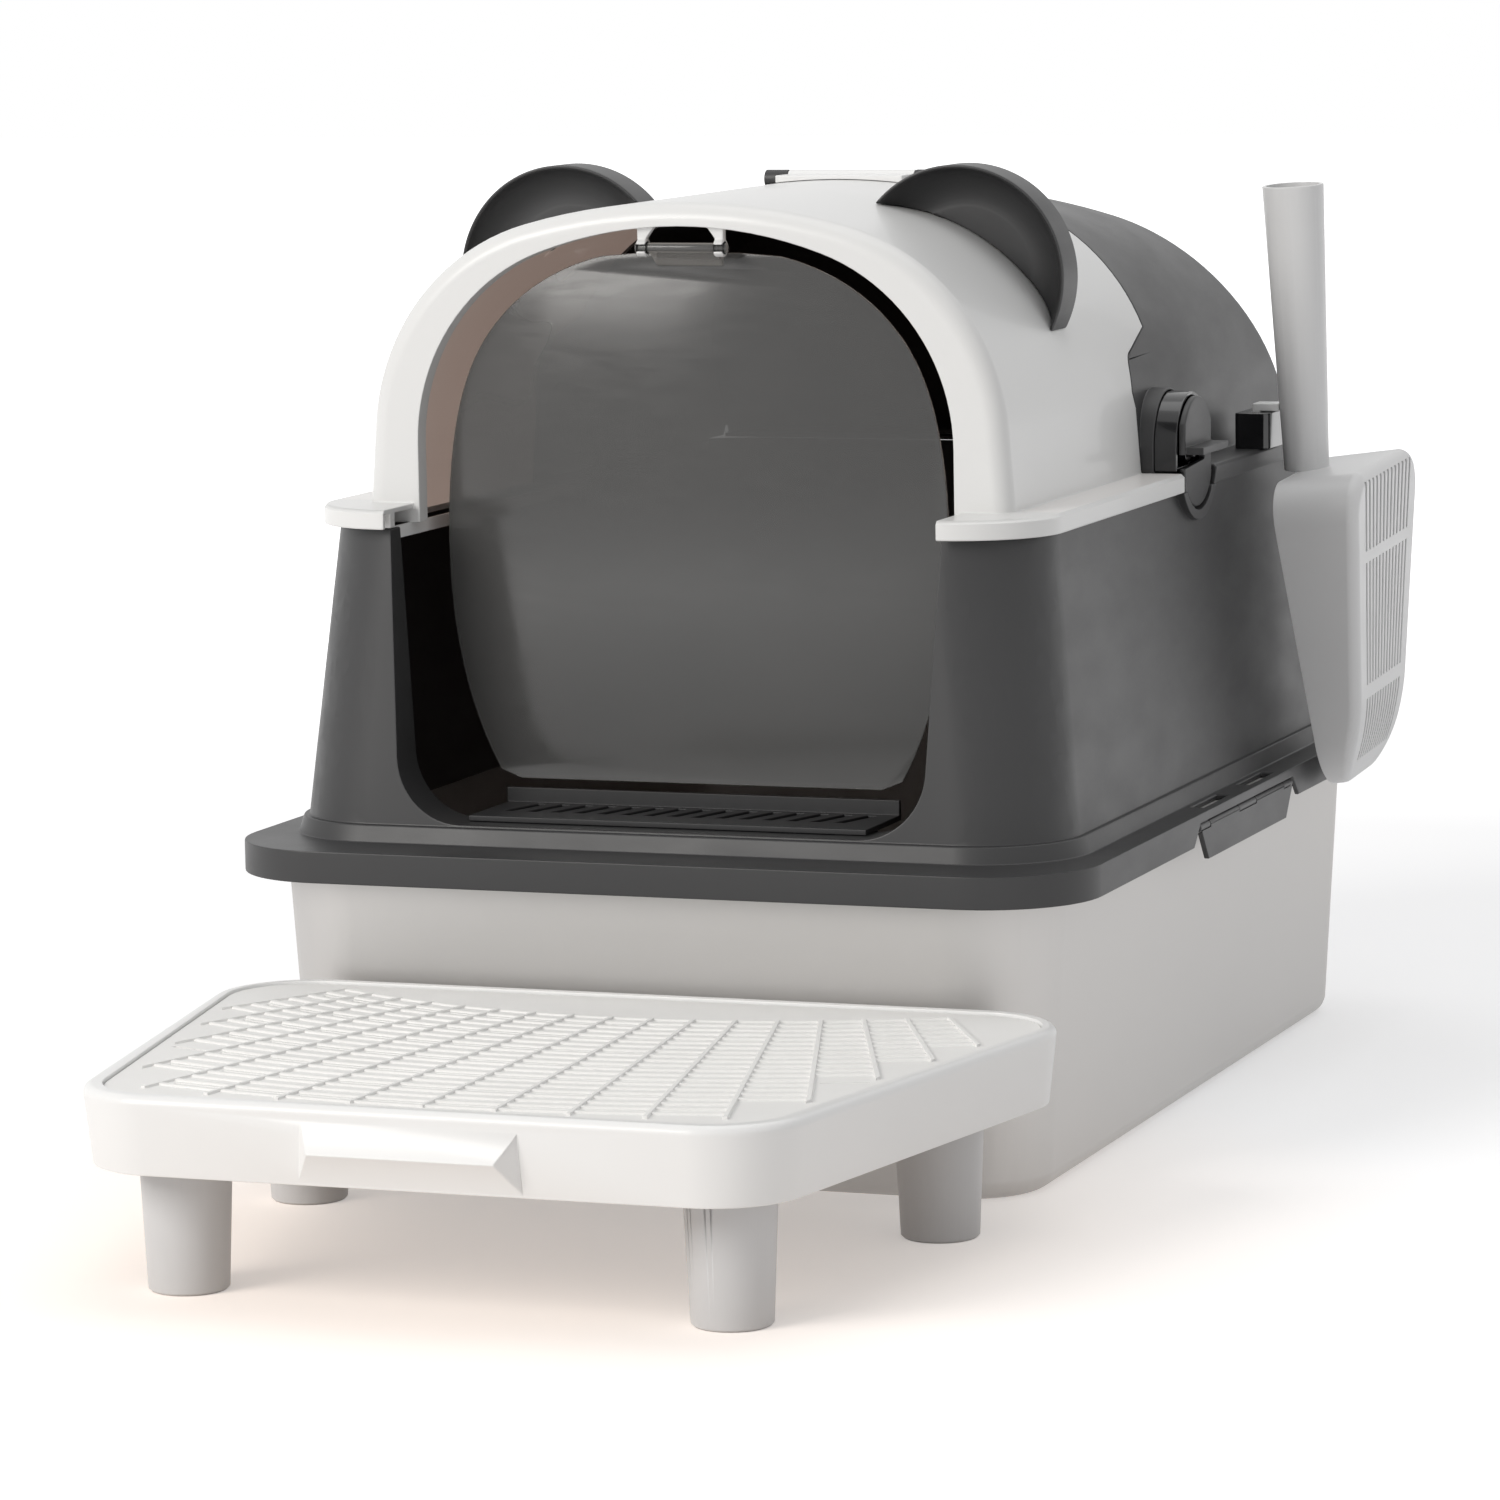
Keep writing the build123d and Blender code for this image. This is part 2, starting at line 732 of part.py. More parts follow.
def make_rear_hood():
    ring = lip_ring(True)
    halves = tongue(0) + behind(hood_split)
    shell = rear_body(0)
    side = hood_prism(0, tongue_front - 10, hood_split) & tongue(0)
    hood = shell + side + (ring & halves)
    collar = along_x(latch_outline(collar_width), hood_side - 12, hood_side + collar_proud)
    hood += collar + mirrored(collar)
    hood -= rear_body(plastic_wall)
    hood -= hood_prism(plastic_wall, tongue_front - 20, hood_split)
    hood += lap_strip()
    hole = along_x(latch_outline(seat_gap), hood_side - 14, hood_side + 8)
    hood -= hole + mirrored(hole)
    hood -= hinge_notch()
    for y in (-1, 1):
        floor = lip_top - holder_peg_depth - seat_gap
        hole = extrude(Circle(holder_peg_radius + seat_gap), holder_peg_depth + 2)
        hood -= Pos(holder_x, scoop_y + y * holder_width / 4, floor) * hole
    return hood


def make_ear():
    """A disc with a dished front face, seated on the curve of the front hood."""
    face_radius = ear_radius - ear_rim
    bend = radians(45)
    side = (face_radius, ear_depth)
    middle = (face_radius - ear_dish_radius * (1 - cos(bend)), ear_depth - ear_dish_depth * sin(bend))
    floor = (face_radius - ear_dish_radius, ear_depth - ear_dish_depth)
    outline = Polyline(floor, (0, floor[1]), (0, 0), (ear_radius, 0), (ear_radius, ear_depth), side)
    outline += ThreePointArc(side, middle, floor)
    disc = revolve(Plane.XZ * make_face(outline), Axis.Z)
    disc = Pos(ear_x, ear_front + ear_depth, lip_under + ear_rise) * Rot(90, 0, 0) * disc
    ear = disc - along_y(hood_section(-seat_gap, lip_under), ear_front - 20, ear_front + ear_depth + 20)
    for step in (-1, 1):
        x = ear_x + step * ear_peg_spacing / 2
        rise = ear_peg_top - step * ear_peg_slope
        peg = extrude(Circle(ear_peg_radius), ear_peg_length)
        ear += Pos(x, ear_peg_y(), lip_under + rise) * peg
    return ear


def hinge_leaf(x0, x1, direction):
    y1 = hood_split + direction * hinge_leaf_length
    low = min(hood_split, y1)
    leaf = block(x0, x1, low, max(hood_split, y1), hinge_z - 8, hinge_z + hinge_leaf_thickness)
    return leaf - hood_prism(-seat_gap, hood_front, rear_panel_y)


def make_hinge_block():
    half = hinge_block_width / 2
    piece = rod_x(hinge_radius, -half, half, hood_split, hinge_z)
    piece += hinge_leaf(-half, half, -1)
    return piece - rod_x(hinge_pin_radius + running_gap, -half, half, hood_split, hinge_z)


def make_hinge_knuckles():
    start = hinge_block_width / 2 + side_gap
    pair = []
    for side in (-1, 1):
        x0 = min(side * start, side * (start + hinge_knuckle_width))
        x1 = x0 + hinge_knuckle_width
        piece = rod_x(hinge_radius, x0, x1, hood_split, hinge_z) + hinge_leaf(x0, x1, 1)
        piece -= rod_x(hinge_pin_radius + running_gap, x0, x1, hood_split, hinge_z)
        pair.append(piece)
    return pair


def make_hinge_pin():
    half = hinge_block_width / 2 + side_gap + hinge_knuckle_width
    return rod_x(hinge_pin_radius, -half, half, hood_split, hinge_z)


def make_door():
    half = door_half
    foot = half - door_foot_inset
    top = door_bar_z - 3
    right = [
        (foot, door_bottom),
        (half - 24, door_bottom + 4),
        (half - 8, door_bottom + 44),
        (half, top - 126),
        (half - 3, top - 90),
        (half - 18, top - 44),
        (half - 36, top - 23),
        (half - 58, top - 9),
        (half - 80, top - 1.5),
        (half - 100, top),
    ]
    left = [(-x, z) for x, z in reversed(right)]
    outline = Spline(*right[1:9]) + Line(right[8], right[9]) + Line(right[9], left[0])
    outline += Line(left[0], left[1]) + Spline(*left[1:9]) + Line(left[8], left[9])
    outline += Line(left[9], right[0]) + Line(right[0], right[1])
    plate = along_y(make_face(outline), door_plane, door_plane + door_thickness)
    half_bar = hook_spacing / 2 + hook_width / 2 + 1.2
    bar = rod_x(door_bar_radius, -half_bar, half_bar, door_bar_y, door_bar_z)
    half_web = hook_spacing / 2 - hook_width / 2 - side_gap
    bend = [
        (door_plane + door_thickness, top - 6),
        (door_plane, top - 6),
        (door_bar_y - 0.5, door_bar_z - door_gusset),
        (door_bar_y, door_bar_z + door_gusset),
        (door_plane + door_thickness, top),
    ]
    web = along_x(make_face(Polyline(*bend, close=True)), -half_web, half_web)
    return plate + bar + web


def make_housing():
    """The cup behind each lever; its floor carries the lever's stud."""
    mouth = latch_back - side_gap
    floor = mouth - housing_depth
    cup = along_x(latch_outline(0), floor, mouth)
    cup -= along_x(latch_outline(-housing_wall), floor + housing_wall, mouth + 1)
    cup += rod_x(latch_hub_radius, floor, mouth - 1.5, latch_y, latch_z)
    return cup - rod_x(latch_stud_radius + running_gap, floor - 1, mouth, latch_y, latch_z)


def make_lever():
    """An oval thumb plate with a waist and a fin, on a stud that turns in the housing."""
    back = latch_back
    front = back + latch_plate
    disc = rod_x(latch_radius, back, front, latch_y, latch_z)
    low, high = latch_z - latch_radius, latch_z + latch_radius
    disc &= block(back, front, latch_y - latch_half_width, latch_y + latch_half_width, low, high)
    disc = chamfer(disc.edges().group_by(Axis.X)[-1], 0.8)
    fin_low = latch_z
    start = latch_y - latch_radius - 2
    slot_end = latch_y + latch_half_width - latch_neck
    slot = [
        (start, fin_low - latch_waist - 2.5),
        (slot_end, fin_low - latch_waist),
        (slot_end, fin_low),
        (start, fin_low),
    ]
    face = make_face(Polyline(*slot, close=True))
    face = fillet(face.vertices().sort_by(Axis.X)[-2:], 1.5)
    disc -= along_x(face, back - 1, front + 1)
    fin_half = latch_half_width - 1
    fin_top = fin_low + latch_fin_thickness
    disc += block(back, front + latch_fin_reach, latch_y - fin_half, latch_y + fin_half, fin_low, fin_top)
    stud_end = latch_back - side_gap - housing_depth
    disc += rod_x(latch_stud_radius, stud_end, back + 1, latch_y, latch_z)
    return disc


def make_holder():
    x0 = holder_x - 6.7
    y0 = scoop_y - holder_width / 2
    body = block(x0, x0 + holder_depth, y0, y0 + holder_width, lip_top, lip_top + holder_height)
    body = fillet(body.edges().filter_by(Axis.Z), 3)
    socket_x = hook_leg_x - socket_gap
    half = hook_tab_width / 2 + socket_gap
    body -= block(
        socket_x,
        socket_x + hook_tab_thickness + 2 * socket_gap,
        scoop_y - half,
        scoop_y + half,
        lip_top + 2.5,
        lip_top + holder_height + 1,
    )
    for y in (-1, 1):
        peg = extrude(Circle(holder_peg_radius), holder_peg_depth + 1)
        body += Pos(holder_x, scoop_y + y * holder_width / 4, lip_top - holder_peg_depth) * peg
    return body


def scoop_place():
    return Pos(scoop_x, scoop_y, lip_top - scoop_drop) * Rot(0, -scoop_lean_in, 0) * Rot(scoop_lean_front, 0, 0)


def scoop_grip(grow):
    profile = Plane.XY * Circle(scoop_handle_base_radius + grow)
    end = Plane.XY.offset(scoop_handle_length) * Circle(scoop_handle_top_radius + grow)
    return loft([profile, end], ruled=True)


def scoop_bowl(inset):
    """The basket's outer or inner form: a tapering outline, cut by the side view of its slotted face."""
    half_top = scoop_basket_top_width / 2 - inset
    half_tip = scoop_basket_tip_width / 2 - inset
    tip = inset - scoop_basket_length
    corners = [(-half_top, -inset), (half_top, -inset), (half_tip, tip), (-half_tip, tip)]
    face = make_face(Polyline(*corners, close=True))
    face = fillet(face.vertices().sort_by(Axis.Y)[-2:], scoop_top_corner - inset)
    face = fillet(face.vertices().sort_by(Axis.Y)[:2], scoop_tip_corner - inset)
    open_side = -scoop_rim_back - (1 if inset else 0)
    prism = along_x(face, open_side, scoop_basket_depth)
    top = (scoop_basket_depth - inset, 1)
    bend = (scoop_bend_depth - inset, -scoop_bend_drop)
    end = (scoop_tip_depth - inset, -scoop_basket_length - 1)
    slope = (bend[0] - top[0], bend[1] - top[1])
    lines = Line(top, bend) + TangentArc(bend, end, tangent=slope)
    lines += Polyline(end, (2 * scoop_basket_depth, end[1]), (2 * scoop_basket_depth, 1), top)
    return prism - along_y(make_face(lines), -scoop_basket_top_width, scoop_basket_top_width)


def scoop_slot_cuts():
    """Rows of slots that close up towards the tip, as outlines in the basket's front view."""
    last = scoop_slot_rows[-1][-1]
    cuts = []
    for place in range(scoop_slots):
        across = place - (scoop_slots - 1) / 2
        for top, foot in scoop_slot_rows:
            corners = []
            for drop in (top, foot):
                field = scoop_slot_field_top + drop / last * (scoop_slot_field_tip - scoop_slot_field_top)
                middle = across * field / scoop_slots
                half = scoop_slot_share / 2 * field / scoop_slots
                corners.append([(middle - half, -drop), (middle + half, -drop)])
            (a, b), (d, c) = corners
            cuts.append(make_face(Polyline(a, b, c, d, close=True)))
    return cuts


def make_scoop():
    """Hollow handle over a slotted basket that opens towards the box."""
    tilt = Rot(0, -scoop_basket_lean, 0)
    shell = scoop_bowl(0)
    rounded = shell.edges().filter_by(lambda e: e.center().X > scoop_tip_depth and abs(e.center().Y) > 30)
    shell = fillet(rounded.filter_by(lambda e: abs(e.tangent_at(0.5).X) < 0.6), scoop_edge_radius)
    hollow = scoop_bowl(scoop_wall)
    for cut in scoop_slot_cuts():
        shell -= along_x(cut, scoop_rim_back, scoop_basket_depth + 2)
    scoop = tilt * shell + scoop_grip(0) - tilt * hollow
    mouth = scoop_handle_top_radius - scoop_handle_wall
    bore = loft(
        [
            Plane.XY.offset(scoop_handle_floor) * Circle(scoop_handle_base_radius - scoop_handle_wall),
            Plane.XY.offset(scoop_handle_length + 1) * Circle(mouth),
        ],
        ruled=True,
    )
    return scoop_place() * (scoop - bore)


def make_scoop_hook():
    bar_low = lip_top + holder_height + seat_gap
    half = hook_tab_width / 2
    bar = block(
        hook_leg_x,
        scoop_x,
        scoop_y - half,
        scoop_y + half,
        bar_low,
        bar_low + hook_tab_thickness,
    )
    leg = block(
        hook_leg_x,
        hook_leg_x + hook_tab_thickness,
        scoop_y - half,
        scoop_y + half,
        lip_top + 3.5,
        bar_low + 1,
    )
    return bar + leg - scoop_place() * scoop_grip(seat_gap)


def step_outline(inset):
    front = step_front_width / 2 - inset
    rear = step_rear_width / 2 - inset
    y0 = step_front + inset
    y1 = step_rear - inset
    x = step_offset
    corners = [(x - front, y0), (x + front, y0), (x + rear, y1), (x - rear, y1)]
    face = make_face(Polyline(*corners, close=True))
    return fillet(face.vertices(), max(step_corner - inset, 8))


def step_legs(spot):
    places = []
    for side in (-1, 1):
        front_x = step_offset + side * (step_front_width / 2 - leg_front_inset)
        rear_x = step_offset + side * (step_rear_width / 2 - leg_rear_inset)
        places.append((front_x, step_front + leg_front_setback))
        places.append((rear_x, step_rear - leg_rear_setback))
    return [Pos(x, y, 0) * spot for x, y in places]


def make_step():
    """The deck: a shallow tray for the mat, open below, with a finger grip on its front."""
    deck = drafted(step_outline(0), step_top, step_underside, step_draft)
    foot_y = step_front + tan(radians(step_draft)) * step_thickness
    ridge_z = step_top - grip_edge_drop
    base = Plane.XZ.offset(-foot_y - 2) * Pos(step_offset, (step_underside + step_top - 2) / 2)
    ridge = Plane.XZ.offset(grip_reach - step_front) * Pos(step_offset, ridge_z)
    wide = Rectangle(grip_width, step_top - 2 - step_underside)
    deck += loft([base * wide, ridge * Rectangle(grip_edge_width, 1.0)], ruled=True)
    deck = fillet(deck.edges().group_by(Axis.Z)[-1], step_edge_radius)
    deck -= Pos(0, 0, step_floor) * extrude(step_outline(step_rim), step_floor_drop + 1)
    deck -= drafted(step_outline(step_wall + 0.8), step_floor - step_wall, step_underside - 0.01, step_draft)
    sleeve_top = step_floor - step_wall + 1
    sleeve = extrude(Circle(leg_spigot_radius + socket_gap + step_wall), sleeve_top - step_underside)
    bore = extrude(Circle(leg_spigot_radius + socket_gap), sleeve_top - step_underside - 1)
    for part in step_legs(Pos(0, 0, step_underside) * (sleeve - bore)):
        deck += part
    for part in step_legs(Pos(0, 0, step_underside) * bore):
        deck -= part
    return deck


def make_mat():
    """The rubber mat: a fan of ribs that meet under the doorway, with slits between them."""
    floor = step_floor
    edge = step_rim + mat_gap
    mat = Pos(0, 0, floor) * extrude(step_outline(edge), mat_thickness)
    field = step_outline(edge + 7)
    heart = Pos(step_offset, step_rear + fan_behind_step)
    rays = []
    slits = []
    half_count = fan_ribs // 2
    inner = fan_radius - fan_reach
    for place in range(-half_count, half_count + 1):
        turn = Rot(0, 0, place * fan_pitch)
        rays.append(heart * turn * Pos(0, -(fan_radius + inner) / 2) * Rectangle(fan_rib_width, fan_reach))
        if place == half_count:
            continue
        between = Rot(0, 0, (place + 0.5) * fan_pitch)
        for row in range(fan_slit_rows):
            radius = inner + (row + 0.5) * fan_reach / fan_slit_rows
            width = radius * radians(fan_pitch) - fan_rib_width - 5
            slits.append(heart * between * Pos(0, -radius) * Rectangle(width, fan_slit_width))
    ribs = Sketch() + rays
    mat += Pos(0, 0, floor + mat_thickness) * extrude(ribs & field, fan_rib_height)
    kept = [slit for slit in slits if (slit & field).area > slit.area * 0.98]
    return mat - Pos(0, 0, floor - 1) * extrude(Sketch() + kept, mat_thickness + 2)


def make_leg():
    shoulder = step_underside - seat_gap
    leg = loft([Circle(leg_foot_radius), Pos(0, 0, shoulder) * Circle(leg_top_radius)], ruled=True)
    leg = chamfer(leg.edges().group_by(Axis.Z)[0], leg_edge)
    leg += Pos(0, 0, shoulder - 1) * extrude(Circle(leg_spigot_radius), leg_socket_depth + 1)
    well = Pos(0, 0, leg_wall) * extrude(Circle(leg_spigot_radius - leg_wall), shoulder + leg_socket_depth)
    return leg - well


if __name__ == "__main__":
    os.makedirs("parts", exist_ok=True)
    legs = step_legs(make_leg())
    pieces = {
        "litter_pan": make_pan(),
        "enclosure_frame": make_enclosure(),
        "side_clip_right": make_clip(),
        "side_clip_left": mirrored(make_clip()),
        "clip_pins": make_clip_pins(),
        "entry_grid": make_grid(),
        "front_hood": make_front_hood(),
        "rear_hood": make_rear_hood(),
        "ear_right": make_ear(),
        "ear_left": mirrored(make_ear()),
        "hinge_block": make_hinge_block(),
        "hinge_knuckles": make_hinge_knuckles(),
        "hinge_pin": make_hinge_pin(),
        "flap_door": make_door(),
        "latch_housing_right": make_housing(),
        "latch_housing_left": mirrored(make_housing()),
        "latch_lever_right": make_lever(),
        "latch_lever_left": mirrored(make_lever()),
        "scoop_holder": make_holder(),
        "scoop": make_scoop(),
        "scoop_hook": make_scoop_hook(),
        "step_deck": make_step(),
        "step_mat": make_mat(),
        "step_leg_front_left": legs[0],
        "step_leg_rear_left": legs[1],
        "step_leg_front_right": legs[2],
        "step_leg_rear_right": legs[3],
    }
    for name, shape in pieces.items():
        export_step(Compound(children=shape) if isinstance(shape, list) else shape, f"parts/{name}.step")
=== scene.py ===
import json
import math

import bmesh
import bpy
from mathutils import Matrix, Vector


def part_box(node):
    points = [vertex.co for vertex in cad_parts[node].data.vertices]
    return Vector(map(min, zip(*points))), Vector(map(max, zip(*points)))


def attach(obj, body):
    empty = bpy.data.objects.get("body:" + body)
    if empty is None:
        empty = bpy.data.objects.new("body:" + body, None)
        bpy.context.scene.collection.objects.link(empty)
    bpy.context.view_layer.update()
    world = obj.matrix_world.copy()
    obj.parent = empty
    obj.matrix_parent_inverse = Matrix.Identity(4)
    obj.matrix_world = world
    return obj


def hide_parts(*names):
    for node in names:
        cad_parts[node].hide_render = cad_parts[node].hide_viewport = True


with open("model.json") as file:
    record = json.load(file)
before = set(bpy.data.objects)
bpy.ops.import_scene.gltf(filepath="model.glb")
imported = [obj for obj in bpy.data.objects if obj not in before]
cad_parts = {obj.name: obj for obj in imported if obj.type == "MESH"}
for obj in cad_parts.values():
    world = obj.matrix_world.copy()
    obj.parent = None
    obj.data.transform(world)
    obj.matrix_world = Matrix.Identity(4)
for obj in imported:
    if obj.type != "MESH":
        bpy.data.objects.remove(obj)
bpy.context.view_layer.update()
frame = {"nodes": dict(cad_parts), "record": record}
print("frame loaded")


class Wire:
    # one socket of a finish, so that its sums read as plain expressions
    def __init__(self, finish, socket):
        self.finish = finish
        self.socket = socket

    def sum(self, operation, other, flipped=False):
        pair = (other, self) if flipped else (self, other)
        return self.finish.node("ShaderNodeMath", {"operation": operation}, dict(enumerate(pair)))

    def __add__(self, other):
        return self.sum("ADD", other)

    def __radd__(self, other):
        return self.sum("ADD", other, True)

    def __sub__(self, other):
        return self.sum("SUBTRACT", other)

    def __rsub__(self, other):
        return self.sum("SUBTRACT", other, True)

    def __mul__(self, other):
        return self.sum("MULTIPLY", other)

    def __rmul__(self, other):
        return self.sum("MULTIPLY", other, True)


class Finish:
    # a material with one principled shader and short ways to reach the other nodes
    def __init__(self, name, roughness, metallic=0.0, coat=0.0):
        self.material = bpy.data.materials.new(name)
        self.material.use_nodes = True
        self.tree = self.material.node_tree
        self.shader = self.tree.nodes["Principled BSDF"]
        self.shader.inputs["Roughness"].default_value = roughness
        self.shader.inputs["Metallic"].default_value = metallic
        self.shader.inputs["Coat Weight"].default_value = coat
        self.spot = self.node("ShaderNodeTexCoord", output="Object")

    def node(self, kind, settings=None, values=None, output=0):
        made = self.tree.nodes.new(kind)
        for key, value in (settings or {}).items():
            setattr(made, key, value)
        for key, value in (values or {}).items():
            if isinstance(value, Wire):
                self.tree.links.new(value.socket, made.inputs[key])
            else:
                made.inputs[key].default_value = value
        return Wire(self, made.outputs[output])

    def feed(self, **values):
        for key, value in values.items():
            self.tree.links.new(value.socket, self.shader.inputs[key.replace("_", " ")])

    def noise(self, scale, stretch=(1, 1, 1), detail=3.0, rough=0.55):
        spread = self.node("ShaderNodeMapping", {}, {"Vector": self.spot, "Scale": stretch})
        values = {"Vector": spread, "Scale": scale, "Detail": detail, "Roughness": rough}
        return self.node("ShaderNodeTexNoise", {}, values)

    def span(self, value, low, high, start=0.0, end=1.0):
        # the value between low and high, spread from start to end
        return self.node(
            "ShaderNodeMapRange",
            {"clamp": True},
            {"Value": value, "From Min": low, "From Max": high, "To Min": start, "To Max": end},
        )

    def spread(self, noise, start=0.0, end=1.0):
        # a noise keeps near its middle, so that its usual reach is spread from start to end
        return self.span(noise, 0.3, 0.7, start, end)

    def facing(self):
        return self.node("ShaderNodeTexCoord", output="Normal")

    def tint(self, share, first, second):
        return self.mix(share, (*first, 1), (*second, 1))

    def mix(self, share, first, second):
        values = {0: share, 6: first, 7: second}
        return self.node("ShaderNodeMix", {"data_type": "RGBA"}, values, output=2)

    def vector(self, operation, first, second, output=0):
        values = {0: first, 1: second}
        return self.node("ShaderNodeVectorMath", {"operation": operation}, values, output)

    def split(self, vector, axis):
        # one coordinate of a vector: 0, 1 or 2 for x, y or z
        return self.node("ShaderNodeSeparateXYZ", {}, {0: vector}, axis)

    def bump(self, height, strength, distance):
        values = {"Height": height, "Strength": strength, "Distance": distance}
        self.feed(Normal=self.node("ShaderNodeBump", {}, values))


def moulded(name, colour, roughness, grain=0.5, drift=0.05, coat=0.0):
    # injection moulded plastic: a fine grain, a slow drift of shade and faint handling marks
    plastic = {
        "cloud": 5.0,
        "smear": 17.0,
        "smearStretch": (1, 1, 2.5),
        "smearReach": (0.35, 0.7),
        "rub": (-0.03, 0.035),
        "grain": 900.0,
        "grainRough": 0.04,
        "grainDepth": 0.00003,
    }
    finish = Finish(name, roughness, coat=coat)
    paler = [min(1.0, part * (1 + drift) + 0.001) for part in colour]
    deeper = [part * (1 - drift) for part in colour]
    slow = finish.spread(finish.noise(plastic["cloud"]))
    finish.feed(Base_Color=finish.tint(slow, deeper, paler))
    smear = finish.noise(plastic["smear"], stretch=plastic["smearStretch"], detail=4.0)
    fine = finish.noise(plastic["grain"], detail=2.0)
    rub = finish.span(smear, *plastic["smearReach"], *plastic["rub"])
    finish.feed(Roughness=rub + (roughness + fine * plastic["grainRough"]))
    finish.bump(fine, grain, plastic["grainDepth"])
    return finish.material


def satinSteel():
    # a pressed pan: satin, with very fine drawn lines round its sides
    look = {
        "tone": (0.565, 0.552, 0.540),
        "deep": (0.530, 0.520, 0.510),
        "smooth": 0.50,
        "rough": 0.56,
        "wear": 0.02,
        "lines": 9.0,
        "lineStretch": (1, 1, 160),
        "lineRelief": 0.1,
        "lineDepth": 0.00002,
        "cloud": 3.0,
        "anisotropy": 0.3,
    }
    finish = Finish("satinSteel", look["smooth"], metallic=1.0)
    finish.shader.inputs["Anisotropic"].default_value = look["anisotropy"]
    lines = finish.noise(look["lines"], stretch=look["lineStretch"], detail=5.0, rough=0.65)
    cloud = finish.noise(look["cloud"])
    shade = finish.spread(lines * 0.4 + cloud * 0.6)
    finish.feed(Base_Color=finish.tint(shade, look["deep"], look["tone"]))
    wear = finish.spread(cloud, -look["wear"], look["wear"])
    finish.feed(Roughness=finish.spread(lines, look["smooth"], look["rough"]) + wear)
    finish.bump(lines, look["lineRelief"], look["lineDepth"])
    return finish.material


def drawnWire():
    # the bare steel pins: streaks along the wire
    look = {
        "deep": (0.42, 0.42, 0.43),
        "bright": (0.62, 0.62, 0.63),
        "smooth": 0.24,
        "rough": 0.4,
        "streak": 60.0,
        "streakStretch": (1, 0.05, 1),
    }
    finish = Finish("drawnWire", 0.3, metallic=1.0)
    streak = finish.noise(look["streak"], stretch=look["streakStretch"])
    finish.feed(Base_Color=finish.tint(streak, look["deep"], look["bright"]))
    finish.feed(Roughness=finish.spread(streak, look["smooth"], look["rough"]))
    return finish.material


def smokedSheet():
    # the see-through door: a dark tint, a moulded sheen, fine scuffs, and a painted highlight on
    # its edges where they gather light
    look = {
        "tint": (0.080, 0.080, 0.079),
        "haze": (0.092, 0.091, 0.089),
        # the pale colour of the highlight painted on the door's rim
        "edge": (0.60, 0.58, 0.55),
        "edgeTurn": (0.45, 0.8),
        "cover": (0.80, 0.83),
        "edgeClear": 0.35,
        "smooth": 0.12,
        "scuffed": 0.22,
        "cloud": 5.0,
        "scuff": 40.0,
        "scuffStretch": (1, 1, 6),
        "scuffReach": (0.35, 0.75),
        "wave": 9.0,
        "waveRelief": 0.06,
        "waveDepth": 0.0003,
    }
    finish = Finish("smokedSheet", 0.16)
    finish.material.surface_render_method = "BLENDED"
    # the rim is where the face turns away from the sheet's own two sides
    across = finish.split(finish.facing(), 1)
    flat = finish.node("ShaderNodeMath", {"operation": "ABSOLUTE"}, {0: across})
    rim = finish.span(flat, *look["edgeTurn"], 1.0, 0.0)
    haze = finish.spread(finish.noise(look["cloud"]))
    pane = finish.tint(haze, look["tint"], look["haze"])
    # painted highlight: the rim faces are painted pale in place of the light the clear edges gather
    finish.feed(Base_Color=finish.mix(rim, pane, (*look["edge"], 1)))
    scuff = finish.noise(look["scuff"], stretch=look["scuffStretch"], detail=6.0)
    finish.feed(Roughness=finish.span(scuff, *look["scuffReach"], look["smooth"], look["scuffed"]))
    finish.feed(Alpha=finish.span(haze, 0.0, 1.0, *look["cover"]) - rim * look["edgeClear"])
    finish.bump(finish.noise(look["wave"]), look["waveRelief"], look["waveDepth"])
    return finish.material


def litHood():
    # the front hood's white plastic, with a warm glow painted by emission on its inner face in
    # place of the light the plastic lets through
    hood = {
        "colour": (0.77, 0.77, 0.763),
        # the colour of the warm glow painted on the hood's inner face
        "glow": (0.17, 0.125, 0.105),
        "heart": (0.0, 0.0, 0.345),
        "innerTurn": (-0.06, -0.03),
        "front": -0.206,
        "fade": 0.004,
        "cloud": 5.0,
        "deeper": 0.99,
        "smooth": 0.32,
        "grain": 900.0,
        "grainRough": 0.04,
        "grainRelief": 0.12,
        "grainDepth": 0.00003,
    }
    finish = Finish("hoodWhitePaintedGlow", 0.34, coat=0.1)
    finish.shader.inputs["Emission Strength"].default_value = 1.0
    slow = finish.spread(finish.noise(hood["cloud"]))
    deeper = [part * hood["deeper"] for part in hood["colour"]]
    finish.feed(Base_Color=finish.tint(slow, deeper, hood["colour"]))
    # a face is inner where it turns towards the line through the middle of the vault
    level = finish.vector("MULTIPLY", finish.spot, (1, 0, 1))
    outward = finish.vector("SUBTRACT", level, hood["heart"])
    turned = finish.vector("DOT_PRODUCT", outward, finish.facing(), output=1)
    inner = finish.span(turned, *hood["innerTurn"], 1.0, 0.0)
    behind = finish.span(finish.split(finish.spot, 1), hood["front"], hood["front"] + hood["fade"])
    # painted light: the inner faces behind the front glow warm by emission
    finish.feed(Emission_Color=finish.tint(inner * behind, (0.0, 0.0, 0.0), hood["glow"]))
    fine = finish.noise(hood["grain"], detail=2.0)
    finish.feed(Roughness=hood["smooth"] + fine * hood["grainRough"])
    finish.bump(fine, hood["grainRelief"], hood["grainDepth"])
    return finish.material


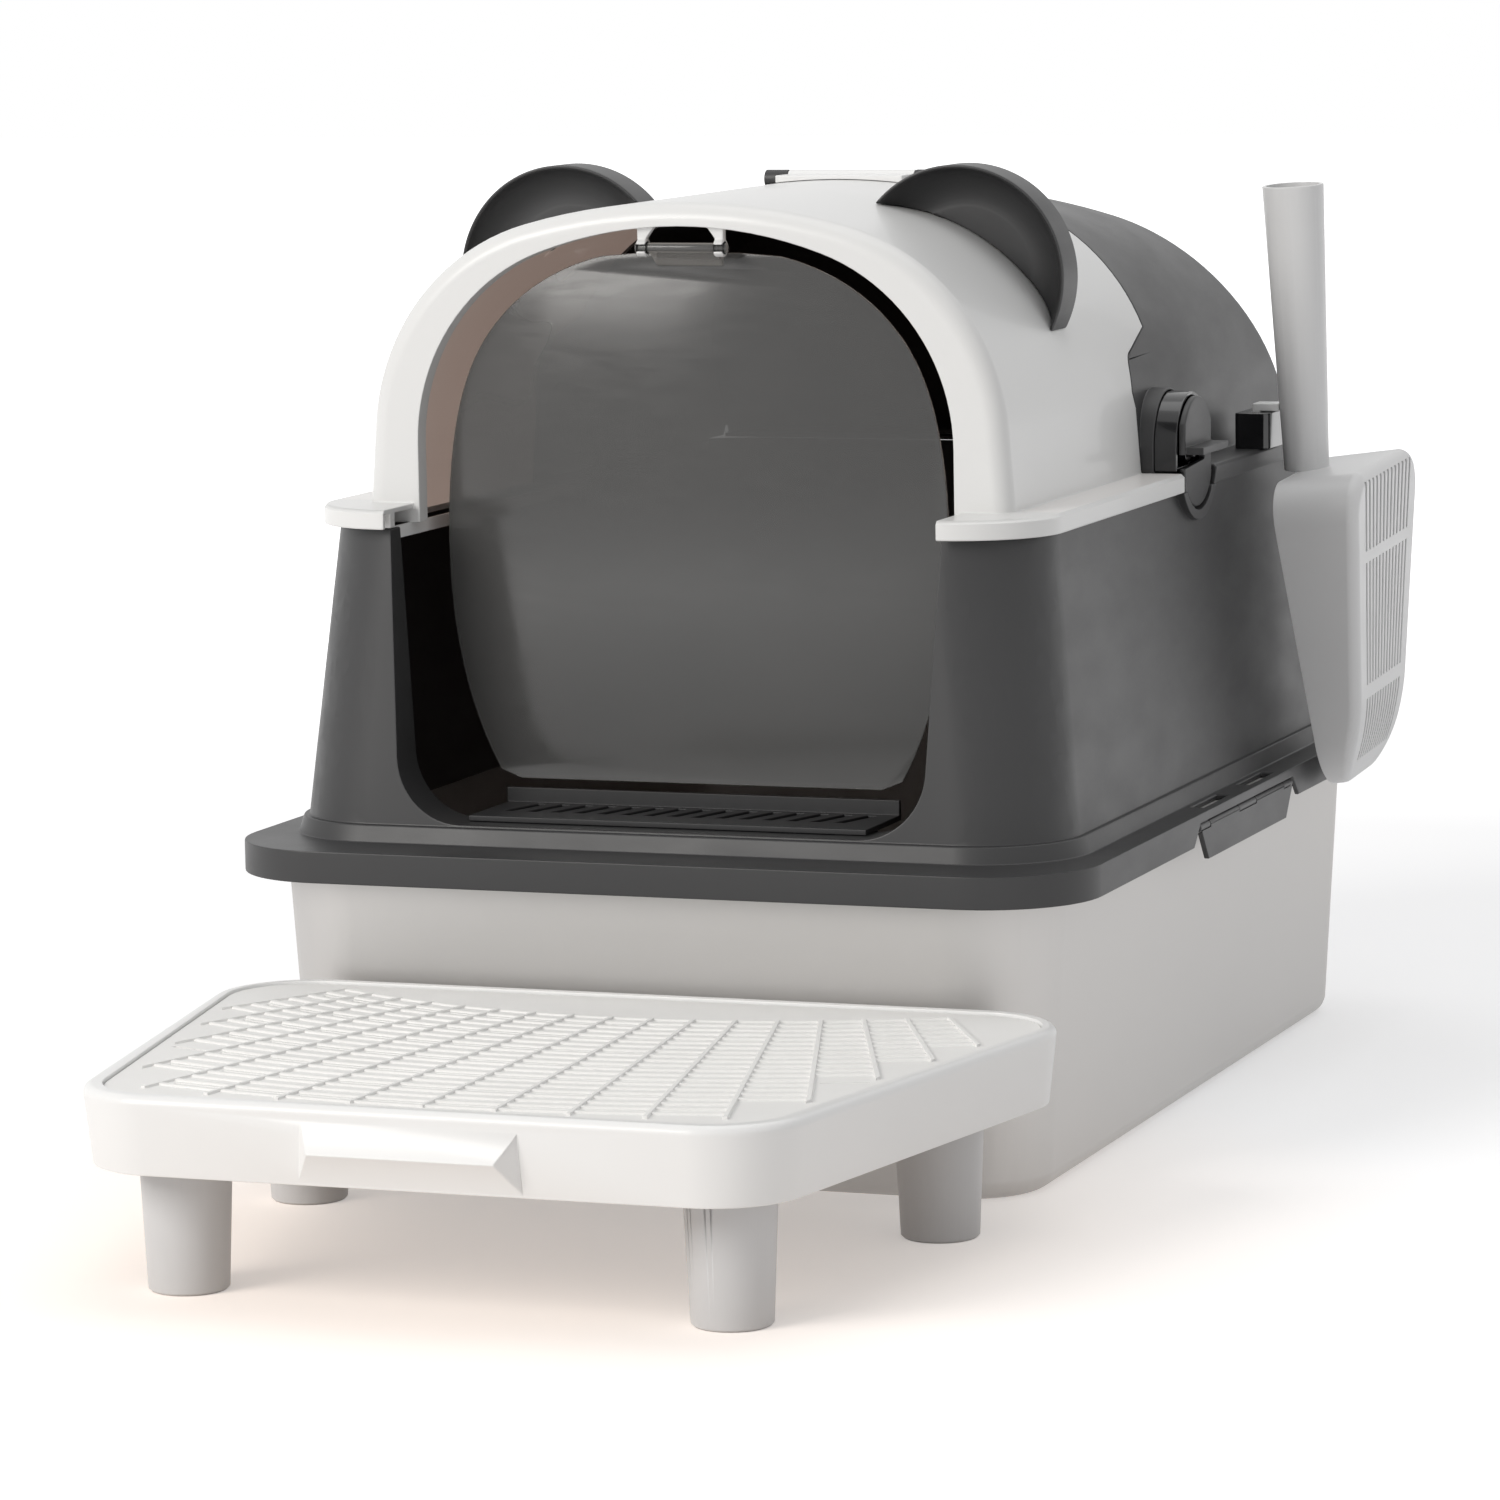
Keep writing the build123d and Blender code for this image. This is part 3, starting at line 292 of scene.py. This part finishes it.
def softRubber():
    # the mat: matt, dusty and a little deeper in shade where the dust lies
    look = {
        "clean": (0.89, 0.885, 0.87),
        "dusty": (0.86, 0.855, 0.84),
        "smooth": 0.52,
        "rough": 0.66,
        "dust": 18.0,
        "dustReach": (0.35, 0.7),
        "grain": 1400.0,
        "grainRelief": 0.4,
        "grainDepth": 0.00005,
    }
    finish = Finish("softRubber", 0.6)
    dust = finish.span(finish.noise(look["dust"], detail=6.0), *look["dustReach"])
    finish.feed(Base_Color=finish.tint(dust, look["clean"], look["dusty"]))
    fine = finish.noise(look["grain"], detail=2.0)
    finish.feed(Roughness=finish.spread(fine, look["smooth"], look["rough"]))
    finish.bump(fine, look["grainRelief"], look["grainDepth"])
    return finish.material


finishes = {
    "steel": satinSteel(),
    "dark_plastic": moulded("slatePlastic", (0.028, 0.028, 0.029), 0.42, grain=0.3, drift=0.04),
    "white_plastic": moulded(
        "whitePlastic", (0.87, 0.87, 0.865), 0.34, grain=0.12, drift=0.01, coat=0.1
    ),
    "black_plastic": moulded("glossBlack", (0.007, 0.007, 0.0082), 0.18, grain=0.06, coat=0.4),
    "black_matte": moulded("mattBlack", (0.016, 0.016, 0.017), 0.5, grain=0.4),
    "smoke_clear": smokedSheet(),
    "grey_plastic": moulded("stoneGrey", (0.76, 0.76, 0.762), 0.36, grain=0.15, drift=0.015),
    "leg_grey": moulded("legGrey", (0.66, 0.665, 0.675), 0.36, grain=0.15, drift=0.015),
    "mat_rubber": softRubber(),
    "pin_steel": drawnWire(),
}
hoodFinish = litHood()
print("finishes made")


def alone(piece):
    bpy.ops.object.select_all(action="DESELECT")
    piece.select_set(True)
    bpy.context.view_layer.objects.active = piece


def bodyOf(node):
    groups = frame["record"]["behaviour"]["bodies"]
    return next(body for body, members in groups.items() if node in members)


def slotOf(node):
    parts = frame["record"]["subparts"]
    return next(part["material_slot"] for part in parts if part["node"] == node)


# how wide each node's edges are broken, in metres
brokenEdges = {
    "enclosure_frame": 0.0007,
    "front_hood": 0.0007,
    "rear_hood": 0.0007,
    "step_deck": 0.0009,
    "side_clip_right": 0.0004,
    "side_clip_left": 0.0004,
    "latch_housing_right": 0.0005,
    "latch_housing_left": 0.0005,
    "latch_lever_right": 0.0005,
    "latch_lever_left": 0.0005,
    "scoop": 0.0004,
    "scoop_holder": 0.0006,
    "scoop_hook": 0.0006,
    "entry_grid": 0.0004,
    "flap_door": 0.0004,
    "hinge_block": 0.0004,
    "hinge_knuckles": 0.0004,
    "ear_right": 0.0008,
    "ear_left": 0.0008,
    "step_mat": 0.0003,
}

dressing = {
    "weld": 0.000012,
    "flatAngle": math.radians(0.4),
    "edgeAngle": math.radians(48),
    "smoothAngle": math.radians(30),
    "keepFacets": ("ear", "latch_lever"),
}


def dress(node):
    # a smooth copy stands for the node, with its finish and, where a width is given, broken edges
    piece = frame["nodes"][node].copy()
    piece.data = piece.data.copy()
    piece.name = node + "_skin"
    piece.parent = None
    for key in list(piece.keys()):
        del piece[key]
    bpy.context.scene.collection.objects.link(piece)
    alone(piece)
    piece.data.materials.clear()
    piece.data.materials.append(hoodFinish if node == "front_hood" else finishes[slotOf(node)])
    bpy.ops.object.mode_set(mode="EDIT")
    bpy.ops.mesh.select_all(action="SELECT")
    bpy.ops.mesh.remove_doubles(threshold=dressing["weld"])
    if not node.startswith(dressing["keepFacets"]):
        bpy.ops.mesh.dissolve_limited(angle_limit=dressing["flatAngle"])
    bpy.ops.object.mode_set(mode="OBJECT")
    if node in brokenEdges:
        bevel = piece.modifiers.new("brokenEdge", "BEVEL")
        bevel.width = brokenEdges[node]
        bevel.segments = 2
        bevel.limit_method = "ANGLE"
        bevel.angle_limit = dressing["edgeAngle"]
        bevel.use_clamp_overlap = False
        bevel.harden_normals = False
        bpy.ops.object.modifier_apply(modifier=bevel.name)
    bpy.ops.object.shade_smooth_by_angle(angle=dressing["smoothAngle"])
    if node != "flap_door":
        even = piece.modifiers.new("evenShade", "WEIGHTED_NORMAL")
        even.keep_sharp = True
        bpy.ops.object.modifier_apply(modifier=even.name)
    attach(piece, bodyOf(node))
    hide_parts(node)


for node in sorted(frame["nodes"]):
    dress(node)
print("nodes dressed")


def matRungs():
    # low bars across the bays of the mat's fan, between its slits
    fan = {
        "heart": (0.012, -0.044),
        "inner": 0.303,
        "pitch": math.radians(3.6),
        "rowPitch": 0.225 / 21,
        "rows": 22,
        "bays": 16,
        "rib": 0.0022,
        "barWide": 0.0034,
        "barHigh": 0.0018,
        "barRound": 0.0007,
        "underDeck": 0.0014,
        "middle": (0.012, -0.434),
        "halfFront": 0.157,
        "halfRear": 0.209,
        "halfDepth": 0.146,
        "corner": 0.042,
        "edge": 0.0175,
    }
    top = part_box("step_deck")[1][2] - fan["underDeck"]
    bpy.ops.object.select_all(action="DESELECT")
    bpy.ops.mesh.primitive_cube_add(size=1)
    bar = bpy.context.active_object
    bpy.ops.transform.resize(value=(1, fan["barWide"], fan["barHigh"]))
    bpy.ops.object.transform_apply(location=False, rotation=False, scale=True)
    bpy.ops.object.mode_set(mode="EDIT")
    mesh = bmesh.from_edit_mesh(bar.data)
    for edge in mesh.edges:
        high = all(corner.co.z > 0 for corner in edge.verts)
        edge.select_set(high and abs(edge.verts[0].co.x - edge.verts[1].co.x) > 0.5)
    bmesh.update_edit_mesh(bar.data)
    bpy.ops.mesh.bevel(offset=fan["barRound"], segments=2)
    bpy.ops.object.mode_set(mode="OBJECT")

    def inside(x, y):
        # whether a spot lies within the mat's round-cornered outline, short of its rim
        down = y - fan["middle"][1]
        share = (down + fan["halfDepth"]) / (2 * fan["halfDepth"])
        reach = fan["halfFront"] + share * (fan["halfRear"] - fan["halfFront"])
        u = abs(x - fan["middle"][0]) - (reach - fan["corner"])
        v = abs(down) - (fan["halfDepth"] - fan["corner"])
        room = fan["corner"] - fan["edge"]
        return math.hypot(u, v) <= room if u > 0 and v > 0 else max(u, v) <= room

    copies = []
    for bay in range(fan["bays"]):
        turn = (bay - (fan["bays"] - 1) / 2) * fan["pitch"]
        for row in range(fan["rows"]):
            radius = fan["inner"] + row * fan["rowPitch"]
            half = (radius * fan["pitch"] - fan["rib"]) / 2
            place = Matrix.Translation((*fan["heart"], top)) @ Matrix.Rotation(turn, 4, "Z")
            place = place @ Matrix.Translation((0, -radius, 0))
            ends = [place @ Vector((side * half, 0, 0)) for side in (-1, 1)]
            if not all(inside(end.x, end.y) for end in ends):
                continue
            rung = bar.copy()
            rung.data = bar.data.copy()
            rung.data.transform(place @ Matrix.Diagonal((2 * half, 1, 1, 1)))
            bpy.context.scene.collection.objects.link(rung)
            copies.append(rung)
    bpy.data.objects.remove(bar)
    alone(copies[0])
    for rung in copies:
        rung.select_set(True)
    bpy.ops.object.join()
    piece = bpy.context.active_object
    piece.name = "mat_rungs"
    piece.data.materials.append(finishes["mat_rubber"])
    bpy.ops.object.shade_smooth_by_angle(angle=math.radians(40))
    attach(piece, bodyOf("step_mat"))


matRungs()
print("mat rungs laid")


def hoodRib():
    # the thin rib under the front hood's lip, which stands inside the wall and shuts out the light
    rib = {
        "side": 0.1718,
        "front": -0.2400,
        "rear": -0.0105,
        "corner": 0.041,
        "gap": 0.137,
        "drop": 0.006,
        "thick": 0.0012,
        "rise": 0.0002,
        "near": 0.0001,
    }
    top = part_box("front_hood")[0][2] + rib["rise"]
    wide = 2 * rib["side"]
    long = 2 * (rib["rear"] - rib["front"])
    bpy.ops.object.select_all(action="DESELECT")
    bpy.ops.mesh.primitive_plane_add(size=1, location=(0, rib["rear"], top - rib["drop"]))
    piece = bpy.context.active_object
    piece.name = "hood_rib"
    bpy.ops.transform.resize(value=(wide, long, 1))
    bpy.ops.object.transform_apply(location=True, rotation=True, scale=True)
    bpy.ops.object.mode_set(mode="EDIT")
    bpy.ops.mesh.bevel(offset=rib["corner"], segments=8, affect="VERTICES")
    bpy.ops.mesh.select_all(action="SELECT")
    bpy.ops.mesh.bisect(plane_co=(0, rib["rear"], 0), plane_no=(0, 1, 0), clear_outer=True)
    for side in (-1, 1):
        bpy.ops.mesh.select_all(action="SELECT")
        bpy.ops.mesh.bisect(plane_co=(side * rib["gap"], 0, 0), plane_no=(1, 0, 0))
    # the outline stays, without its part in the doorway and its straight rear end; the edges of the
    # two cuts stay too, as a second run on each side that the real hood lacks
    mesh = bmesh.from_edit_mesh(piece.data)
    bmesh.ops.delete(mesh, geom=mesh.faces[:], context="FACES_ONLY")
    for edge in mesh.edges:
        middle = (edge.verts[0].co + edge.verts[1].co) / 2
        inDoor = abs(middle.x) < rib["gap"] - rib["near"]
        edge.select_set(inDoor or middle.y > rib["rear"] - rib["near"])
    bmesh.update_edit_mesh(piece.data)
    bpy.ops.mesh.delete(type="EDGE")
    bpy.ops.mesh.select_all(action="SELECT")
    bpy.ops.mesh.extrude_region_move(TRANSFORM_OT_translate={"value": (0, 0, rib["drop"])})
    bpy.ops.object.mode_set(mode="OBJECT")
    wall = piece.modifiers.new("wall", "SOLIDIFY")
    wall.thickness = rib["thick"]
    wall.offset = 0
    bpy.ops.object.modifier_apply(modifier=wall.name)
    bpy.ops.object.mode_set(mode="EDIT")
    bpy.ops.mesh.select_all(action="SELECT")
    bpy.ops.mesh.normals_make_consistent(inside=False)
    bpy.ops.object.mode_set(mode="OBJECT")
    bpy.ops.object.shade_smooth_by_angle(angle=dressing["smoothAngle"])
    piece.data.materials.append(finishes["white_plastic"])
    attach(piece, bodyOf("front_hood"))


hoodRib()
print("hood rib made")


def rearSeal():
    # a flat web that closes the gap under the back of the rear hood
    seal = {
        "half": 0.155,
        "front": 0.2566,
        "rear": 0.2700,
        "web": 0.0020,
        "rise": 0.0002,
        "edge": 0.0003,
    }
    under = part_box("front_hood")[0][2] + seal["rise"]
    middle = (seal["front"] + seal["rear"]) / 2
    bpy.ops.object.select_all(action="DESELECT")
    bpy.ops.mesh.primitive_cube_add(size=1, location=(0, middle, under + seal["web"] / 2))
    piece = bpy.context.active_object
    piece.name = "rear_seal"
    bpy.ops.transform.resize(value=(2 * seal["half"], seal["rear"] - seal["front"], seal["web"]))
    bpy.ops.object.transform_apply(location=True, rotation=True, scale=True)
    edge = piece.modifiers.new("edge", "BEVEL")
    edge.width = seal["edge"]
    edge.segments = 2
    bpy.ops.object.modifier_apply(modifier=edge.name)
    piece.data.materials.append(finishes["dark_plastic"])
    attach(piece, bodyOf("rear_hood"))


rearSeal()
print("rear seal made")

studio = {
    "floorHalf": 12.0,
    "floorTone": (0.92, 0.92, 0.93),
    # the tone, place and reach of the warm shadow painted on the floor under the step
    "stepShadeTone": (0.95, 0.84, 0.76),
    "stepShadePlace": (-0.02, -0.42, 0.0),
    "stepShadeReach": (0.15, 0.45),
    "nearLift": 0.33,
    "farLift": 1.0,
    "nearReach": 0.9,
    "farReach": 2.2,
    "worldLight": 0.44,
    "keyPower": 66.0,
    "keyPlace": (-1.7, -2.9, 1.9),
    "keySize": 1.6,
    "keyTone": (1.0, 0.975, 0.94),
    "topPower": 14.0,
    "topPlace": (0.3, 0.2, 2.6),
    "topSize": 2.0,
    "topTone": (1.0, 1.0, 1.0),
    "aim": (0.0, 0.0, 0.2),
    "directRays": ("Is Camera Ray", "Is Glossy Ray", "Is Transmission Ray"),
}


def lamp(name):
    place = Vector(studio[name + "Place"])
    light = bpy.data.lights.new(name, "AREA")
    light.energy = studio[name + "Power"]
    light.size = studio[name + "Size"]
    light.color = studio[name + "Tone"]
    holder = bpy.data.objects.new(name, light)
    bpy.context.scene.collection.objects.link(holder)
    holder.location = place
    holder.rotation_euler = (Vector(studio["aim"]) - place).to_track_quat("-Z", "Y").to_euler()


def seenDirectly(finish):
    # 1 for what the camera, a mirror or a clear piece shows, so that the background is white there
    seen, mirrored, through = [
        finish.node("ShaderNodeLightPath", output=ray) for ray in studio["directRays"]
    ]
    return seen.sum("MAXIMUM", mirrored).sum("MAXIMUM", through)


def paleFloor():
    bpy.ops.object.select_all(action="DESELECT")
    bpy.ops.mesh.primitive_plane_add(size=2 * studio["floorHalf"], location=(0, 0, 0))
    floor = bpy.context.active_object
    floor.name = "floor"
    finish = Finish("paleFloor", 0.8)
    finish.shader.inputs["Specular IOR Level"].default_value = 0.0
    finish.shader.inputs["Emission Strength"].default_value = 1.0
    # painted shade: the floor is tinted warm under the step, in place of the warm shadow there, and
    # rises to plain white away from the object
    fromStep = finish.vector("DISTANCE", finish.spot, studio["stepShadePlace"], output=1)
    under = finish.span(fromStep, *studio["stepShadeReach"], 1.0, 0.0)
    finish.feed(Base_Color=finish.tint(under, studio["floorTone"], studio["stepShadeTone"]))
    away = finish.node("ShaderNodeVectorMath", {"operation": "LENGTH"}, {0: finish.spot}, output=1)
    reach = (studio["nearReach"], studio["farReach"])
    lift = finish.span(away, *reach, studio["nearLift"], studio["farLift"])
    glow = lift * seenDirectly(finish)
    grey = finish.node("ShaderNodeCombineColor", {}, {0: glow, 1: glow, 2: glow})
    finish.feed(Emission_Color=grey)
    floor.data.materials.append(finish.material)


def paleWorld():
    world = bpy.data.worlds.new("paleWorld")
    bpy.context.scene.world = world
    world.use_nodes = True
    tree = world.node_tree
    light = tree.nodes["Background"]
    light.inputs["Color"].default_value = (1, 1, 1, 1)
    light.inputs["Strength"].default_value = studio["worldLight"]
    seen = tree.nodes.new("ShaderNodeBackground")
    seen.inputs["Color"].default_value = (1, 1, 1, 1)
    seen.inputs["Strength"].default_value = 1.0
    path = tree.nodes.new("ShaderNodeLightPath")
    cameraRay, *otherRays = studio["directRays"]
    share = path.outputs[cameraRay]
    for ray in otherRays:
        either = tree.nodes.new("ShaderNodeMath")
        either.operation = "MAXIMUM"
        tree.links.new(share, either.inputs[0])
        tree.links.new(path.outputs[ray], either.inputs[1])
        share = either.outputs[0]
    mix = tree.nodes.new("ShaderNodeMixShader")
    tree.links.new(share, mix.inputs[0])
    tree.links.new(light.outputs[0], mix.inputs[1])
    tree.links.new(seen.outputs[0], mix.inputs[2])
    tree.links.new(mix.outputs[0], tree.nodes["World Output"].inputs["Surface"])


def photoCamera():
    # where the photograph was taken from; angles in radians, lengths in metres
    view = {
        "place": (1.0329, -2.9213, 0.5835),
        "yaw": -0.3546,
        "pitch": 0.1338,
        "roll": -0.0168,
        "focalPixels": 6292.6,
        "framePixels": 1500,
        "sensor": 36.0,
    }
    level, fall = math.cos(view["pitch"]), math.sin(view["pitch"])
    east, north = math.sin(view["yaw"]), math.cos(view["yaw"])
    ahead = Vector((east * level, north * level, -fall))
    right = Vector((north, -east, 0))
    up = right.cross(ahead)
    turn, lean = math.cos(view["roll"]), math.sin(view["roll"])
    axes = (turn * right + lean * up, turn * up - lean * right, -ahead)
    lens = bpy.data.cameras.new("photoCamera")
    lens.sensor_width = view["sensor"]
    lens.lens = view["sensor"] * view["focalPixels"] / view["framePixels"]
    camera = bpy.data.objects.new("photoCamera", lens)
    bpy.context.scene.collection.objects.link(camera)
    camera.matrix_world = Matrix.Translation(view["place"]) @ Matrix(axes).transposed().to_4x4()
    bpy.context.scene.camera = camera


paleFloor()
paleWorld()
lamp("key")
lamp("top")
photoCamera()
bpy.context.scene.view_settings.view_transform = "Standard"
print("studio ready")
